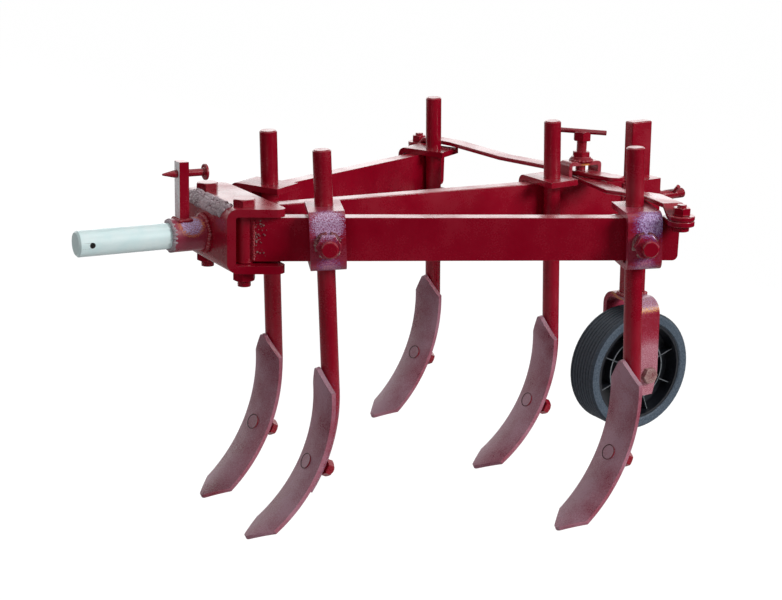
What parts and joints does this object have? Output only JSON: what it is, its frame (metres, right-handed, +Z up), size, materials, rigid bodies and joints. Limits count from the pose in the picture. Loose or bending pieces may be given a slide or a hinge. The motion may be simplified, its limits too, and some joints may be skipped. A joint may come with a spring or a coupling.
{
  "type": "tine cultivator",
  "caption": "V-shaped cultivator for a two-wheel tractor: hinged tool beams with clamped spring-less tines and curved shares, spread straps, pin hitch and a gauge wheel on a forked stem.",
  "frame": {"origin": "centre of the cross hole in the hitch shank", "axes": "+X forward along the hitch shank, towards the tractor; +Y to the machine's left; +Z up"},
  "size_m": [0.8103, 0.5599, 0.4328],
  "materials": {
    "red_enamel": "gloss",
    "red_fasteners": "gloss",
    "red_shares": "gloss",
    "zinc_steel": "bright zinc plate",
    "tread_rubber": "matt",
    "black_plastic": "satin"
  },
  "bodies": {
    "frame": {"bridge_screw": "red_fasteners", "centre_beam": "red_enamel", "centre_clamp": "red_enamel", "centre_leg": "red_enamel", "centre_set_screw": "red_fasteners", "centre_share": "red_shares", "centre_share_bolt": "red_fasteners", "head_channel": "red_enamel", "hitch_shank": "zinc_steel", "hitch_tube": "red_enamel", "latch_pin": "zinc_steel", "latch_post": "red_enamel", "left_pivot_bolt": "red_fasteners", "left_pivot_nut": "red_fasteners", "right_pivot_bolt": "red_fasteners", "right_pivot_nut": "red_fasteners", "socket_screw": "zinc_steel", "strap_bridge": "red_enamel", "wheel_socket": "red_enamel"},
    "left_arm": {"left_arm": "red_enamel", "left_bush": "red_enamel", "left_front_clamp": "red_enamel", "left_front_leg": "red_enamel", "left_front_set_screw": "red_fasteners", "left_front_share": "red_shares", "left_front_share_bolt": "red_fasteners", "left_lug": "red_enamel", "left_rear_clamp": "red_enamel", "left_rear_leg": "red_enamel", "left_rear_set_screw": "red_fasteners", "left_rear_share": "red_shares", "left_rear_share_bolt": "red_fasteners", "left_strap_bolt": "red_fasteners"},
    "right_arm": {"right_arm": "red_enamel", "right_bush": "red_enamel", "right_front_clamp": "red_enamel", "right_front_leg": "red_enamel", "right_front_set_screw": "red_fasteners", "right_front_share": "red_shares", "right_front_share_bolt": "red_fasteners", "right_lug": "red_enamel", "right_rear_clamp": "red_enamel", "right_rear_leg": "red_enamel", "right_rear_set_screw": "red_fasteners", "right_rear_share": "red_shares", "right_rear_share_bolt": "red_fasteners", "right_strap_bolt": "red_fasteners"},
    "left_strap": {"left_strap": "red_enamel"},
    "right_strap": {"right_strap": "red_enamel"},
    "wheel_stand": {"wheel_bar": "red_enamel", "wheel_fork": "red_enamel", "wheel_axle": "zinc_steel"},
    "wheel": {"wheel_hub": "black_plastic", "wheel_tyre": "tread_rubber"}
  },
  "joints": [
    {"name": "left_arm_swing", "type": "hinge", "parent": "frame", "child": "left_arm", "pos_m": [-0.153, 0.0497, 0.0025], "axis": [0, 0, -1], "range_deg": [-3.4, 6.6]},
    {"name": "right_arm_swing", "type": "hinge", "parent": "frame", "child": "right_arm", "pos_m": [-0.153, -0.0497, 0.0025], "axis": [0, 0, 1], "range_deg": [-6.9, 3.1]},
    {"name": "left_strap_swing", "type": "hinge", "parent": "left_arm", "child": "left_strap", "pos_m": [-0.57001, 0.25295, 0.029], "axis": [0, 0, 1], "range_deg": [-1.9, 3.66]},
    {"name": "right_strap_swing", "type": "hinge", "parent": "right_arm", "child": "right_strap", "pos_m": [-0.55683, -0.27803, 0.029], "axis": [0, 0, -1], "range_deg": [-3.82, 1.73]},
    {"name": "wheel_depth", "type": "slide", "parent": "frame", "child": "wheel_stand", "axis": [-0.0349, 0, -0.9994], "range_m": [-0.05, 0.075]},
    {"name": "wheel_spin", "type": "hinge", "parent": "wheel_stand", "child": "wheel", "pos_m": [-0.71833, 0, -0.22698], "axis": [0, 1, 0], "continuous": true}
  ],
  "couplings": [
    {"joint": "left_strap_swing", "follows": "left_arm_swing", "ratio": 0.55},
    {"joint": "right_strap_swing", "follows": "right_arm_swing", "ratio": 0.55}
  ]
}
